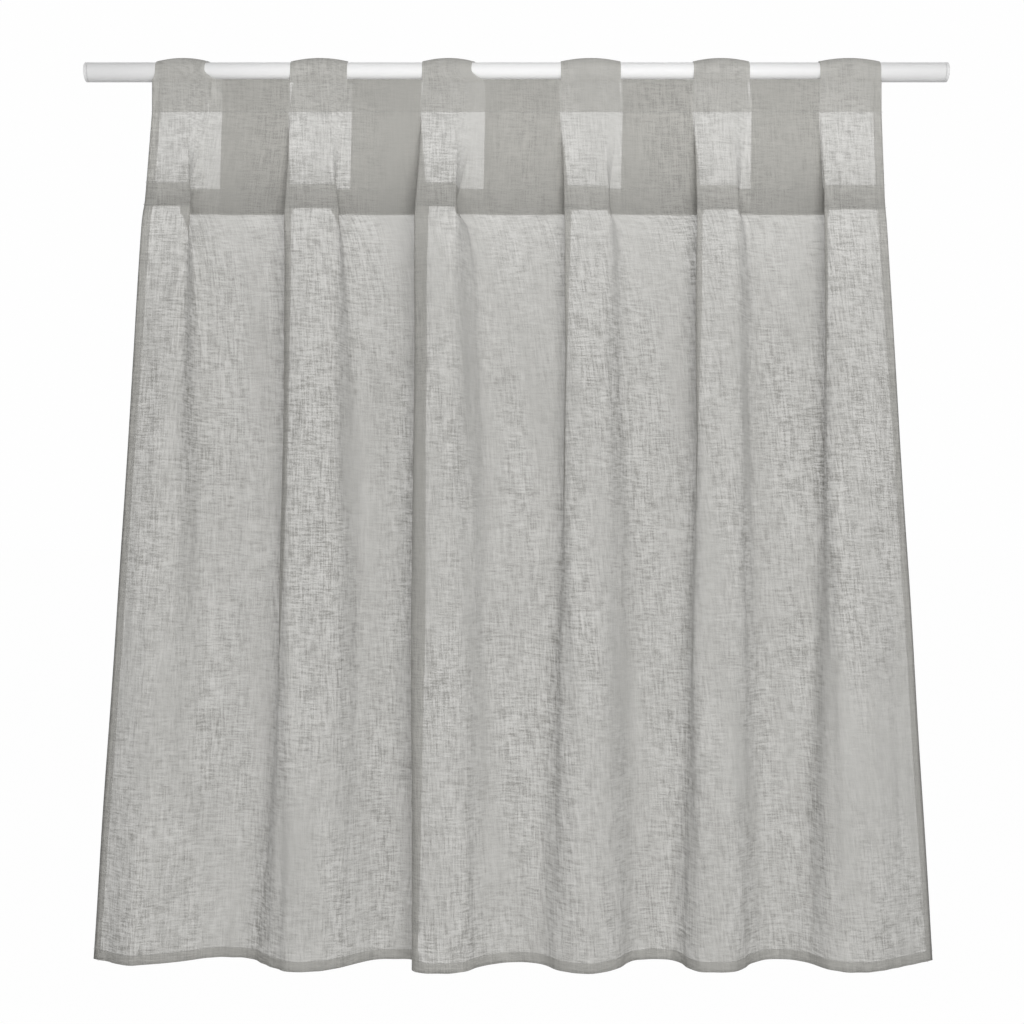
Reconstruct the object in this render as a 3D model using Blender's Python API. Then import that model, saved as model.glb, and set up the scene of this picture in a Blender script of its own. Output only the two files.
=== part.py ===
# A curtain with six tabs cut in one with the cloth, hung on a plain round rod.
# Metres, +Z up, the viewer at -Y. The origin is on the rod's axis at mid-length.

import math

import bmesh
import bpy
import numpy as np

# Rod
ROD_RADIUS = 0.0095
ROD_WALL = 0.0010
ROD_LENGTH = 0.8610
CAP_FLANGE = 0.0030
CAP_SHANK = 0.0120
ROUND_SIDES = 40

# Cloth
CLOTH = 0.0006
HEM_CLOTH = 0.0013
GAP = 0.0003
SIDE_HEM = 0.0085
BOTTOM_HEM = 0.0100

# Levels: the top edge's gap under the rod, then depths below the top edge
UNDER_ROD = 0.0008
TOP_HEM_DEPTH = 0.0324
HEADING_DEPTH = 0.1297
TAPE_WIDTH = 0.0245
LENGTH = 0.8827

# Tabs
TAB_CENTRES = (-0.3325, -0.1965, -0.0675, 0.0739, 0.2039, 0.3317)
TAB_WIDTHS = (0.0526, 0.0566, 0.0526, 0.0595, 0.0556, 0.0605)
TAB_FLARES = (0.0080, 0.0, 0.0080, 0.0, 0.0, 0.0)
TAB_ARCH = 0.0034
TAB_EASE = 0.0004
TAB_TURN = math.radians(-34)
TAB_SEWN = 0.0090

# Side edges: past the outer tabs at the top edge, and how far they spread over the heading
EDGE_LEFT = 0.0029
EDGE_RIGHT = 0.0003
SPREAD_LEFT = 0.0027
SPREAD_RIGHT = 0.0030
TUCK_ROOM = 0.0015

# Facings: left edges past the tabs' right edges, at the top and at the heading's lower edge
FACING = 0.0009
FACING_TOP = (0.0058, 0.0049, 0.0019, 0.0018, 0.0018)
FACING_LOW = (0.0065, -0.0003, 0.0075, 0.0009, 0.0043)

# Folds at the heading's lower edge: the ridges' flat fronts, from the tabs' edges and from the
# plane of the top edge, and how far the tucks overlap on each side
RIDGE_LEFT = (0.0138, -0.0057, -0.0098, 0.0020, 0.0006, -0.0029)
RIDGE_RIGHT = (-0.0116, -0.0060, -0.0172, -0.0099, -0.0104, -0.0199)
RIDGE_PROUD = (0.0175, 0.0075, 0.0155, -0.0005, 0.0025, 0.0025)
VALLEY_SET_BACK = 0.0185
TUCK_LEFT = (0.0047, 0.0146, 0.0097, 0.0119, 0.0138)
TUCK_RIGHT = (0.0230, 0.0137, 0.0065, 0.0037, -0.0005)
TUCK_BEND = 0.0075

# Waves at the hem: crests from the tabs' centres, troughs as shares of the way between crests,
# depths from the rod's axis, and the cloth that each slope takes up
CREST_SHIFT = (-0.0450, -0.0085, -0.0060, -0.0019, -0.0042, 0.0041)
CREST_FRONT = (0.0000, 0.0194, 0.0250, 0.0250, 0.0220, 0.0220)
TROUGH_SHARE = (0.4435, 0.5650, 0.4882, 0.5060, 0.4700)
TROUGH_BACK = (0.0255, 0.0193, 0.0100, 0.0193, 0.0193)
RISE_TAKES = (0.008, 0.024, 0.062, 0.017, 0.032, 0.021)
FALL_TAKES = (0.0055, 0.016, 0.014, 0.024, 0.022, 0.012)
HEM_LEFT_OUT = 0.0521
HEM_LEFT_BACK = 0.0205
HEM_RIGHT_OUT = 0.0856
HEM_RIGHT_BACK = 0.0160
WAVE_BEND = 0.0200
LATE_OPENING = 2.0

# Mesh
BEND_STEPS = 5
BODY_ROWS = 8
TAB_STEPS = 9
TAB_COLUMNS = 7
HEM_EDGE = 0.0004

TABS = len(TAB_CENTRES)
FRONT = ROD_RADIUS + GAP + CLOTH / 2 + TAB_EASE
BEHIND_HEM = HEM_CLOTH / 2 + GAP + CLOTH / 2
TOP_EDGE = ROD_RADIUS + UNDER_ROD
TOP_HEM = TOP_EDGE + TOP_HEM_DEPTH
HEADING = TOP_EDGE + HEADING_DEPTH
TAPE_TOP = HEADING - TAPE_WIDTH
DROP = TOP_EDGE + LENGTH


def clear_scene():
    for old in list(bpy.data.objects):
        bpy.data.objects.remove(old, do_unlink=True)


def material(name, colour, roughness, metallic=0.0):
    made = bpy.data.materials.new(name)
    made.use_nodes = True
    shader = made.node_tree.nodes["Principled BSDF"]
    shader.inputs["Base Color"].default_value = (*colour, 1.0)
    shader.inputs["Roughness"].default_value = roughness
    shader.inputs["Metallic"].default_value = metallic
    made.diffuse_color = (*colour, 1.0)
    return made


def add_object(name, points, faces, look, smooth=True):
    mesh = bpy.data.meshes.new(name)
    mesh.from_pydata([tuple(p) for p in points], [], faces)
    mesh.validate()
    for face in mesh.polygons:
        face.use_smooth = smooth
    mesh.materials.append(look)
    made = bpy.data.objects.new(name, mesh)
    bpy.context.scene.collection.objects.link(made)
    return made


def between(start, end, share):
    return start + (end - start) * share


def tab_edges(tab):
    half = TAB_WIDTHS[tab] / 2
    return TAB_CENTRES[tab] - half, TAB_CENTRES[tab] + half


def top_corners():
    return tab_edges(0)[0] - EDGE_LEFT, tab_edges(TABS - 1)[1] + EDGE_RIGHT


# Control points of the cross-section at the heading's lower edge
def heading_corners():
    left, right = top_corners()
    valley = VALLEY_SET_BACK - FRONT
    points = [(left - SPREAD_LEFT, -FRONT - RIDGE_PROUD[0])]
    for tab in range(TABS):
        low, high = tab_edges(tab)
        ridge = -FRONT - RIDGE_PROUD[tab]
        end = high + RIDGE_RIGHT[tab]
        points.append((low + RIDGE_LEFT[tab], ridge))
        points.append((end, ridge))
        if tab < TABS - 1:
            after = tab_edges(tab + 1)[0] + RIDGE_LEFT[tab + 1]
            points.append((end - TUCK_RIGHT[tab], valley))
            points.append((after + TUCK_LEFT[tab], valley))
    points.append((right + SPREAD_RIGHT, ridge))
    return np.array(points)


# A slope between two turning points, as its foot and its head. The cloth it takes up, over the
# straight way across, sets how steep it is.
def slope(start, end, takes):
    deep = abs(end[1] - start[1])
    long = (takes**2 + deep**2) / (2 * takes)
    run = (deep**2 - takes**2) / (2 * takes)
    foot = start[0] + (end[0] - start[0] + takes - long) / 2
    return (foot, start[1]), (foot + run, end[1])


# Control points of the cross-section at the hem
def hem_corners():
    crests = [x + shift for x, shift in zip(TAB_CENTRES, CREST_SHIFT)]
    left = (crests[0] - HEM_LEFT_OUT, HEM_LEFT_BACK)
    right = (crests[-1] + HEM_RIGHT_OUT, HEM_RIGHT_BACK)
    points = [left]
    trough = None
    for tab in range(TABS):
        crest = (crests[tab], -CREST_FRONT[tab])
        if trough:
            points.extend(slope(trough, crest, RISE_TAKES[tab]))
        else:
            points.append(slope(left, crest, RISE_TAKES[0])[1])
        if tab < TABS - 1:
            x = between(crests[tab], crests[tab + 1], TROUGH_SHARE[tab])
            trough = (x, TROUGH_BACK[tab])
            points.extend(slope(crest, trough, FALL_TAKES[tab]))
        else:
            points.append(slope(crest, right, FALL_TAKES[tab])[0])
    points.append(right)
    return np.array(points)


# Points along a cross-section with its corners rounded. Each corner gives the same count of points.
def rounded(corners, bend):
    legs = np.linalg.norm(np.diff(corners, axis=0), axis=1)
    line = [corners[0]]
    for i in range(1, len(corners) - 1):
        cut = min(bend, 0.46 * legs[i - 1], 0.46 * legs[i])
        start = corners[i] + (corners[i - 1] - corners[i]) * cut / legs[i - 1]
        end = corners[i] + (corners[i + 1] - corners[i]) * cut / legs[i]
        for t in np.linspace(0, 1, BEND_STEPS + 1):
            line.append((1 - t) ** 2 * start + 2 * t * (1 - t) * corners[i] + t * t * end)
    line.append(corners[-1])
    return np.array(line)


def along(line):
    return np.concatenate([[0.0], np.cumsum(np.linalg.norm(np.diff(line, axis=0), axis=1))])


# Column numbers in a rounded cross-section, before the extra columns go in
def first_of(corner):
    return 1 + (corner - 1) * (BEND_STEPS + 1)


def last_of(corner):
    return first_of(corner) + BEND_STEPS


def ridge_start(tab):
    return 1 + 4 * tab


def valley_start(tab):
    return 3 + 4 * tab


# The cross-section with the columns of the side hems and the facings' left edges put in
def with_extras(line, shares):
    points = []
    places = {}
    facings = {last_of(valley_start(k)): k for k in range(TABS - 1)}
    right = line[-2] - line[-1]
    right = right / np.linalg.norm(right)
    left = line[1] - line[0]
    left = left / np.linalg.norm(left)
    for number, point in enumerate(line):
        if number == len(line) - 1:
            points.append(point + right * (SIDE_HEM + HEM_EDGE))
            points.append(point + right * SIDE_HEM)
        places[number] = len(points)
        points.append(point)
        if number == 0:
            points.append(point + left * SIDE_HEM)
            points.append(point + left * (SIDE_HEM + HEM_EDGE))
        if number in facings:
            tab = facings[number]
            places["facing", tab] = len(points)
            points.append(between(point, line[number + 1], shares[tab]))
            middle = (1 + shares[tab]) / 2
            points.append(between(point, line[number + 1], middle))
    return np.array(points), places


def facing_shares(line):
    shares = []
    for tab in range(TABS - 1):
        start = line[last_of(valley_start(tab))][0]
        end = line[last_of(valley_start(tab)) + 1][0]
        wanted = tab_edges(tab)[1] + FACING_LOW[tab]
        shares.append((wanted - start) / (end - start))
    return shares


HEADING_LINE = rounded(heading_corners(), TUCK_BEND)
WIDTH = along(HEADING_LINE)[-1]
SHARES = facing_shares(HEADING_LINE)
HEADING_SECTION, PLACES = with_extras(HEADING_LINE, SHARES)
COLUMNS = len(HEADING_SECTION)


# The top edge runs straight, and each column keeps its place between the tabs' edges
def top_section():
    walked = along(HEADING_SECTION)
    left, right = top_corners()
    anchors = [(0, left)]
    for tab in range(TABS):
        low, high = tab_edges(tab)
        if tab:
            anchors.append((PLACES[first_of(ridge_start(tab) - 1)], low - TUCK_ROOM))
            anchors.append((PLACES[first_of(ridge_start(tab))], low))
        if tab < TABS - 1:
            flared = high + TAB_FLARES[tab]
            anchors.append((PLACES[last_of(valley_start(tab))], flared))
            anchors.append((PLACES["facing", tab], flared + FACING_TOP[tab]))
    anchors.append((COLUMNS - 1, right))
    places = [walked[column] for column, _ in anchors]
    x = np.interp(walked, places, [x for _, x in anchors])
    for column in (1, 2):
        x[column] = left + walked[column]
        x[-1 - column] = right - (walked[-1] - walked[-1 - column])
    return np.stack([x, np.full(COLUMNS, -FRONT)], axis=1)


TOP_SECTION = top_section()


# Control points between the heading and the hem. The tucks on the ridges' left sides open late.
def body_corners(share):
    heading, hem = heading_corners(), hem_corners()
    corners = between(heading, hem, share)
    for tab in range(TABS - 1):
        foot = valley_start(tab) + 1
        corners[foot, 0] = between(heading[foot, 0], hem[foot, 0], share**LATE_OPENING)
    return corners


# Deepens or flattens the folds until the cloth is as wide as it is in the heading
def same_width(corners, bend):
    low, high = 0.5, 2.0
    for _ in range(30):
        factor = (low + high) / 2
        line = rounded(corners * np.array([1.0, factor]), bend)
        if along(line)[-1] < WIDTH:
            low = factor
        else:
            high = factor
    return line


# The cloth's middle at a distance below the rod's axis, as points (x, y)
def section(down):
    if down <= TOP_HEM:
        share = 0.0
    else:
        share = min(1.0, (down - TOP_HEM) / (HEADING - TOP_HEM))
    if down <= HEADING:
        return between(TOP_SECTION, HEADING_SECTION, share)
    share = (down - HEADING) / (DROP - HEADING)
    bend = between(TUCK_BEND, WAVE_BEND, share)
    return with_extras(same_width(body_corners(share), bend), SHARES)[0]


# Moves a cross-section backwards, square to the cloth
def moved_back(line, distance):
    ahead = np.gradient(line, axis=0)
    ahead = ahead / np.linalg.norm(ahead, axis=1)[:, None]
    return line + distance * np.stack([-ahead[:, 1], ahead[:, 0]], axis=1)


def raised(line, down):
    return np.column_stack([line, np.full(len(line), -down)])


def grid_faces(rows, columns, start=0):
    faces = []
    for r in range(rows - 1):
        for c in range(columns - 1):
            a = start + r * columns + c
            faces.append((a, a + columns, a + columns + 1, a + 1))
    return faces


def thicken(made, thickness, thin=None):
    solid = made.modifiers.new("Thickness", "SOLIDIFY")
    solid.thickness = thickness
    solid.offset = 0.0
    solid.use_even_offset = False
    solid.use_quality_normals = True
    solid.use_rim = True
    if thin is not None:
        solid.vertex_group = "hems"
        solid.thickness_vertex_group = thin


def body_levels():
    levels = [TOP_EDGE, TOP_HEM, (TOP_HEM + TAPE_TOP) / 2, TAPE_TOP, HEADING]
    hem = DROP - BOTTOM_HEM
    for k in range(1, BODY_ROWS):
        levels.append(between(HEADING, hem, (k / BODY_ROWS) ** 1.25))
    return levels + [hem - HEM_EDGE, hem, DROP]


# Across a tab: its columns, and where they sit from its left edge (0) to its right edge (1)
def tab_columns(tab):
    first = PLACES[first_of(ridge_start(tab))] if tab else 0
    last = PLACES[last_of(valley_start(tab))] if tab < TABS - 1 else COLUMNS - 1
    x = TOP_SECTION[first : last + 1, 0]
    share = (x - x[0]) / (x[-1] - x[0])
    wanted = np.linspace(0, 1, TAB_COLUMNS)
    picked = sorted({int(np.argmin(abs(share - w))) for w in wanted})
    return [first + p for p in picked], share[picked]


# One tab's rows: up the front, over the rod and down the back to the top-hem line
def tab_rows(tab, columns, share):
    low, high = tab_edges(tab)
    plain = between(low, high, share)
    arch = TAB_ARCH * (1 - (2 * share - 1) ** 2)
    spread = TOP_SECTION[columns, 0] - plain
    pinch = 0.45 * TAB_FLARES[tab] * share**2
    rows = []
    for down, flare, narrow in ((0.0065, 0.36, 0.0), (0.0030, 0.08, 0.6)):
        x = plain + spread * flare - pinch * narrow
        rows.append(np.column_stack([x, np.full(len(x), -FRONT), np.full(len(x), -down)]))
    for turn in np.linspace(math.pi, TAB_TURN, TAB_STEPS + 1):
        upward = max(0.0, math.sin(turn)) ** 1.5
        radius = FRONT + arch * upward
        narrow = max(0.0, -math.cos(turn))
        x = plain - pinch * narrow
        rows.append(np.column_stack([x, radius * math.cos(turn), radius * math.sin(turn)]))
    for down in (TOP_HEM - TAB_SEWN, TOP_HEM - GAP):
        y = np.full(len(plain), -FRONT + BEHIND_HEM)
        rows.append(np.column_stack([plain, y, np.full(len(plain), -down)]))
    return rows


def build_panel(look):
    levels = body_levels()
    points = [p for down in levels for p in raised(section(down), down)]
    faces = grid_faces(len(levels), COLUMNS)
    hem = set()
    for r, down in enumerate(levels):
        low = down >= DROP - BOTTOM_HEM
        for c in range(COLUMNS):
            if low or c < 2 or c >= COLUMNS - 2:
                hem.add(r * COLUMNS + c)
    for tab in range(TABS):
        columns, share = tab_columns(tab)
        rows = tab_rows(tab, columns, share)
        start = len(points)
        points.extend(p for row in rows for p in row)
        for c in range(len(columns) - 1):
            foot = list(range(columns[c], columns[c + 1] + 1))
            faces.append((start + c, *foot, start + c + 1))
        count = len(columns)
        for r in range(len(rows) - 1):
            for c in range(count - 1):
                a = start + r * count + c
                faces.append((a + count, a, a + 1, a + count + 1))
    panel = add_object("curtain_panel", points, faces, look)
    hems = panel.vertex_groups.new(name="hems")
    everywhere = list(range(len(points)))
    hems.add([v for v in everywhere if v in hem], 1.0, "REPLACE")
    hems.add([v for v in everywhere if v not in hem], 0.0, "REPLACE")
    thicken(panel, HEM_CLOTH, CLOTH / HEM_CLOTH)
    return panel


def build_tape(look):
    levels = [TAPE_TOP, HEADING]
    points = []
    for down in levels:
        points.extend(raised(moved_back(section(down), BEHIND_HEM), down))
    tape = add_object("heading_tape", points, grid_faces(len(levels), COLUMNS), look)
    thicken(tape, CLOTH)
    return tape


def build_facing(tab, look):
    near = CLOTH / 2 + GAP + FACING / 2
    far = BEHIND_HEM + CLOTH / 2 + GAP + FACING / 2
    first = PLACES["facing", tab]
    last = PLACES[first_of(ridge_start(tab + 1) - 1)]
    levels = ((TOP_EDGE, near), (TOP_HEM, near), (TAPE_TOP - 0.002, far), (HEADING, far))
    points = []
    for down, distance in levels:
        line = section(down)[first : last + 1] + np.array([0.0, distance])
        points.extend(raised(line, down))
    name = f"facing_{tab + 1}"
    faces = grid_faces(len(levels), last + 1 - first)
    facing = add_object(name, points, faces, look)
    thicken(facing, FACING)
    return facing


# A closed body turned about the X axis, from a profile of (x, radius) points
def turned(name, profile, look):
    made = bmesh.new()
    rings = []
    for x, radius in profile:
        if radius == 0:
            rings.append([made.verts.new((x, 0, 0))])
            continue
        ring = []
        for k in range(ROUND_SIDES):
            turn = 2 * math.pi * k / ROUND_SIDES
            ring.append(made.verts.new((x, radius * math.cos(turn), radius * math.sin(turn))))
        rings.append(ring)
    pairs = list(zip(rings, rings[1:]))
    if profile[0][1] > 0:
        pairs.append((rings[-1], rings[0]))
    for one, two in pairs:
        for k in range(ROUND_SIDES):
            ends = (one[k % len(one)], one[(k + 1) % len(one)])
            others = (two[(k + 1) % len(two)], two[k % len(two)])
            corners = list(dict.fromkeys(ends + others))
            made.faces.new(corners)
    bmesh.ops.recalc_face_normals(made, faces=made.faces)
    mesh = bpy.data.meshes.new(name)
    made.to_mesh(mesh)
    made.free()
    mesh.materials.append(look)
    solid = bpy.data.objects.new(name, mesh)
    bpy.context.scene.collection.objects.link(solid)
    return solid


def build_rod(look):
    half = ROD_LENGTH / 2 - CAP_FLANGE - GAP
    inner = ROD_RADIUS - ROD_WALL
    profile = [(-half, ROD_RADIUS), (half, ROD_RADIUS), (half, inner), (-half, inner)]
    return turned("rod", profile, look)


def build_cap(name, side, look):
    end = side * ROD_LENGTH / 2
    face = end - side * CAP_FLANGE
    tip = face - side * CAP_SHANK
    shank = ROD_RADIUS - ROD_WALL - GAP
    bevel = 0.0004
    profile = [
        (end, 0.0),
        (end, ROD_RADIUS - bevel),
        (end - side * bevel, ROD_RADIUS),
        (face, ROD_RADIUS),
        (face, shank),
        (tip, shank),
        (tip, 0.0),
    ]
    return turned(name, profile, look)


def main():
    clear_scene()
    cloth = material("linen_look_cloth", (0.54, 0.54, 0.525), 0.95)
    lining = material("facing_cloth", (0.50, 0.50, 0.485), 0.95)
    white = material("white_painted_tube", (0.88, 0.88, 0.88), 0.25)
    plug = material("white_plug", (0.82, 0.82, 0.82), 0.4)
    build_panel(cloth)
    build_tape(lining)
    for tab in range(TABS - 1):
        build_facing(tab, lining)
    build_rod(white)
    build_cap("rod_cap_left", -1, plug)
    build_cap("rod_cap_right", 1, plug)


main()
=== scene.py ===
"""A semi-sheer curtain with six tabs on a white rod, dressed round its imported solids."""

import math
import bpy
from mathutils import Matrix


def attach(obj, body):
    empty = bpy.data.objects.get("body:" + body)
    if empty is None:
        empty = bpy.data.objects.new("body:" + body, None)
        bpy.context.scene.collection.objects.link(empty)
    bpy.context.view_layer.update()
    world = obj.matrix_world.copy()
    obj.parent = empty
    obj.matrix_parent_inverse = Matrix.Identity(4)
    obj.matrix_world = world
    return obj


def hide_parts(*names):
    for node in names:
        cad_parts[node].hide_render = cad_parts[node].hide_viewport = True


bl_info = {
    "name": "Tab-top curtain",
    "version": (1, 0, 0),
    "blender": (4, 5, 0),
    "location": "View3D > Sidebar > Curtain",
    "description": "Builds a folded linen-look curtain, its sewing, its rod and a plain studio",
    "category": "Object",
}

import bpy
import numpy as np
from bpy.props import FloatProperty, FloatVectorProperty, PointerProperty
from mathutils import Vector

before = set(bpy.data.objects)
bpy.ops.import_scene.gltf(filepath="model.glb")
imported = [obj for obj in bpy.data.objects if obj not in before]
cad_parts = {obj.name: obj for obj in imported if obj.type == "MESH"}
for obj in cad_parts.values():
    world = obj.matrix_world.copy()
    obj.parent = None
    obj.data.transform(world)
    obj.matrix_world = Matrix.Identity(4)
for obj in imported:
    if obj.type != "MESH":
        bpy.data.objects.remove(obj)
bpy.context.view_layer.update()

# Rod and cloth, the gap between sewn pieces, and the widths of the turned hems
ROD_RADIUS = 0.0095
CLOTH = 0.0006
HEM_CLOTH = 0.0013
GAP = 0.0003
SIDE_HEM = 0.0085
BOTTOM_HEM = 0.0100

# Turned layers: the fold at an edge, how far behind the cloth each lies, and where its rows are
FOLD = 0.0003
SIDE_TURN = 0.0007
BOTTOM_TURN = 0.0012
TOP_TURN = 0.0004
SIDE_STRIP = np.array([SIDE_HEM, SIDE_HEM / 2, FOLD])
BOTTOM_ROWS = (0.0, 0.33, 0.66, 1.0)
TOP_ROWS = 6

# Levels below the rod's axis
TOP_EDGE = ROD_RADIUS + 0.0008
TOP_HEM = TOP_EDGE + 0.0324
HEADING = TOP_EDGE + 0.1297
TAPE_TOP = HEADING - 0.0245
DROP = TOP_EDGE + 0.8827

# Tabs, left to right. Behind the rod each leaves it at TAB_TURN and runs down to its sewn end
TAB_CENTRES = (-0.3325, -0.1965, -0.0675, 0.0739, 0.2039, 0.3317)
TAB_WIDTHS = (0.0526, 0.0566, 0.0526, 0.0595, 0.0556, 0.0605)
TAB_FLARES = (0.0080, 0.0, 0.0080, 0.0, 0.0, 0.0)
TAB_ARCH = 0.0034
TAB_TURN = math.radians(-34)
TAB_SEWN = 0.0090
TABS = len(TAB_CENTRES)
FRONT = ROD_RADIUS + GAP + CLOTH / 2 + 0.0004
BEHIND_HEM = HEM_CLOTH / 2 + GAP + CLOTH / 2
TAB_TAIL = 0.0300
TAB_PINCH = 0.45
TAB_FRONT_ROWS = (TOP_EDGE - 0.0012, 0.0006, 8)
TAB_BACK_ROWS = 6

# Side edges and facings
EDGE_LEFT = 0.0029
EDGE_RIGHT = 0.0003
SPREAD_LEFT = 0.0027
SPREAD_RIGHT = 0.0030
TUCK_ROOM = 0.0015
FACING = 0.0009
FACING_SHARE = 0.35
TAPE_ROOM = 0.0020
FACING_TOP = (0.0058, 0.0049, 0.0019, 0.0018, 0.0018)
FACING_LOW = (0.0065, -0.0003, 0.0075, 0.0009, 0.0043)

# Folds at the heading's lower edge, measured from the tabs' edges and the cloth's front
RIDGE_LEFT = (0.0138, -0.0057, -0.0070, 0.0020, 0.0014, 0.0026)
RIDGE_RIGHT = (-0.0116, -0.0060, -0.0172, -0.0099, -0.0104, -0.0199)
RIDGE_PROUD = (0.0175, 0.0075, 0.0155, -0.0005, 0.0025, 0.0025)
VALLEY_SET_BACK = 0.0185
TUCK_LEFT = (0.0047, 0.0130, 0.0097, 0.0111, 0.0100)
TUCK_RIGHT = (0.0230, 0.0137, 0.0065, 0.0037, -0.0005)

# Waves at the hem: crests under the tabs, troughs between them, and what the slopes take up
CREST_SHIFT = (-0.0450, -0.0085, -0.0060, -0.0019, -0.0042, 0.0041)
CREST_FRONT = (0.0000, 0.0194, 0.0250, 0.0250, 0.0220, 0.0220)
TROUGH_SHARE = (0.4435, 0.5650, 0.4882, 0.5060, 0.4700)
TROUGH_BACK = (0.0255, 0.0193, 0.0100, 0.0193, 0.0193)
RISE_TAKES = (0.008, 0.024, 0.062, 0.017, 0.032, 0.021)
FALL_TAKES = (0.0055, 0.016, 0.014, 0.024, 0.022, 0.012)
HEM_LEFT_OUT = 0.0521
HEM_LEFT_BACK = 0.0205
HEM_RIGHT_OUT = 0.0856
HEM_RIGHT_BACK = 0.0160
WAVE_BEND = 0.0200

# Body: its cloth's width, how its corners open on the way down, and how folds sag and lean
BODY_WIDTH = 1.0272
WIDTH_TRIES = 24
LATE_OPENING = (2.0, 2.0, 1.4, 1.4, 2.0)
EARLY_OPENING = (0.30, 0.35, 0.25, 0.25, 0.25)
VALLEY_SAG = 0.0035
RIDGE_CROWN = 0.0015
CRISP_BEND = 0.0035
CRISP_REACH = 0.18
SOFT_OPENING = 0.5
LEAN_DEEP = (0.0, 0.0060, 0.0080, 0.0015, 0.0015, 0.0045)
LEAN_WIDE = (0.0, 0.0100, 0.0180, 0.0100, 0.0100, 0.0100)
LEAN_STARTS = 0.0040
LEAN_GROWS = 0.0500
LEAN_LOST = 0.6
BILLOW_GROWS = 0.1000

# Small waves in the cloth: how many, how wide and how high, and the puckers along seams
CRINKLES = 26
CRINKLE_SEED = 7
CRINKLE_WIDE = (0.018, 0.075)
CRINKLE_HIGH = (0.25, 1.1)
CRINKLE_SHARE = 3.2
CRINKLE_HEADING = 0.35
CRINKLE_GROWS = 0.06
TOP_FLAT = 0.02
PUCKER_HEIGHT = 0.00022
PUCKER_REACH = 0.0045
PUCKER_WIDE = 0.0117
SOFTENED = 0.0090

# Sewing
STITCH_SIDES = 6
STITCH_RINGS = 5
SIDE_STITCH = SIDE_HEM - 0.0012
TAPE_STITCH = HEADING - 0.0015
THREAD_COLOUR = (0.42, 0.418, 0.405)
THREAD_PROUD = 0.35

# Flat places: each piece of cloth has its own stretch of the weave
TAPE_WEAVE = 2.0
FACING_WEAVE = 3.0

# Painted light and shade on the cloth by its level below the rod's axis, as multipliers on its
# colour, and how much more open it is where it is painted paler
PAINTED_LEVEL_SHADES = (
    (-0.030, 1.23),
    (0.080, 1.19),
    (TAPE_TOP, 1.07),
    (HEADING - 0.0006, 0.91),
    (HEADING + 0.0004, 1.16),
    (0.200, 1.07),
    (0.300, 1.01),
)
OPENED = 0.50

# Mesh
BEND_STEPS = 10
BEND_SHARE = 0.46
CLOSEST = 0.02
LEVEL_SLACK = 1e-6
FLAT_STEP = 0.0055
ROW_STEP = 0.0056
TAB_STEPS = 22

# Weave noises: each one's two ways, as rates per metre across and down the cloth, then its
# detail and where it starts
WARP = ((860, 0), (290, 64), 0.0, 1.3)
WEFT = ((110, 290), (0, 860), 0.0, 2.6)
GRAIN = ((900, 140), (-140, 900), 0.0, 3.9)
MOTTLE = ((26, 3), (-8, 9), 3.0, 4.2)
PATCHES = ((19, 2), (-3, 4), 1.0, 5.5)
GRAIN_SHARE = 0.9
MOTTLE_SHARE = 0.25
PATCH_RANGE = (2.4, -0.3)
PATCH_LEAST = 0.30

# Finishes
THREAD_SHADES = (1.26, 0.74)
THREAD_RELIEF = 0.0003
UNEVEN_GAPS = 0.12
LIFT = (1.30, 1.30, 1.30, 1.0)
# the facings are the same cloth painted 1.2 times paler, as painted light that lifts the
# heading's tone
FACING_PAINTED_LIGHT = 1.20
LINING_SLUB = 0.8
# the rod's white, painted paler near its middle and darker out towards its ends as painted shade,
# and the distances from the middle between which it changes
ROD_PAINTED_WHITES = (0.95, 0.80)
ROD_SHADE_SPAN = (0.20, 0.40)
PLUG_WHITE = (0.80, 0.80, 0.80, 1.0)

# Camera, from the photograph's framing
CAMERA_PLACE = (-0.0045, -1.3500, -0.4396)
HALF_VIEW = 0.5120
SENSOR = 36.0

# Lamps: size, place and target. Floor and surround
KEY_LAMP = (1.4, (0.38, -1.90, 0.08), (0.0, 0.0, -0.35))
LOW_LAMP = (1.0, (-0.10, -1.80, -1.15), (0.0, 0.0, -0.55))
FILL_TURNS = (-0.7, 0.7)
SURROUND_WHITE = (0.992, 0.992, 0.992, 1.0)
FLOOR_HALF = 30.0
FLOOR_WHITE = 0.985


class CurtainSettings(bpy.types.PropertyGroup):
    cloth_colour: FloatVectorProperty(
        name="Cloth colour",
        description="Colour of the cloth's threads lit from the front",
        subtype="COLOR",
        size=3,
        min=0.0,
        max=1.0,
        default=(0.446, 0.439, 0.414),
    )
    cover: FloatProperty(
        name="Thread cover",
        description="Share of the cloth that is thread and not open gaps",
        default=0.88,
        min=0.3,
        max=1.0,
    )
    through: FloatProperty(
        name="Light through",
        description="Share of each thread's light that comes through from behind",
        default=0.12,
        min=0.0,
        max=1.0,
    )
    stitch_pitch: FloatProperty(
        name="Stitch pitch",
        description="Distance from one stitch to the next",
        default=0.0032,
        min=0.001,
        unit="LENGTH",
    )
    stitch_length: FloatProperty(
        name="Stitch length",
        description="Length of thread that shows in each stitch",
        default=0.0024,
        min=0.0005,
        unit="LENGTH",
    )
    thread_radius: FloatProperty(
        name="Thread radius",
        description="Half the sewing thread's thickness",
        default=0.00022,
        min=0.0001,
        unit="LENGTH",
    )
    crinkle: FloatProperty(
        name="Crinkle",
        description="Height of the small soft waves in the cloth",
        default=0.0007,
        min=0.0,
        unit="LENGTH",
    )


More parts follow.
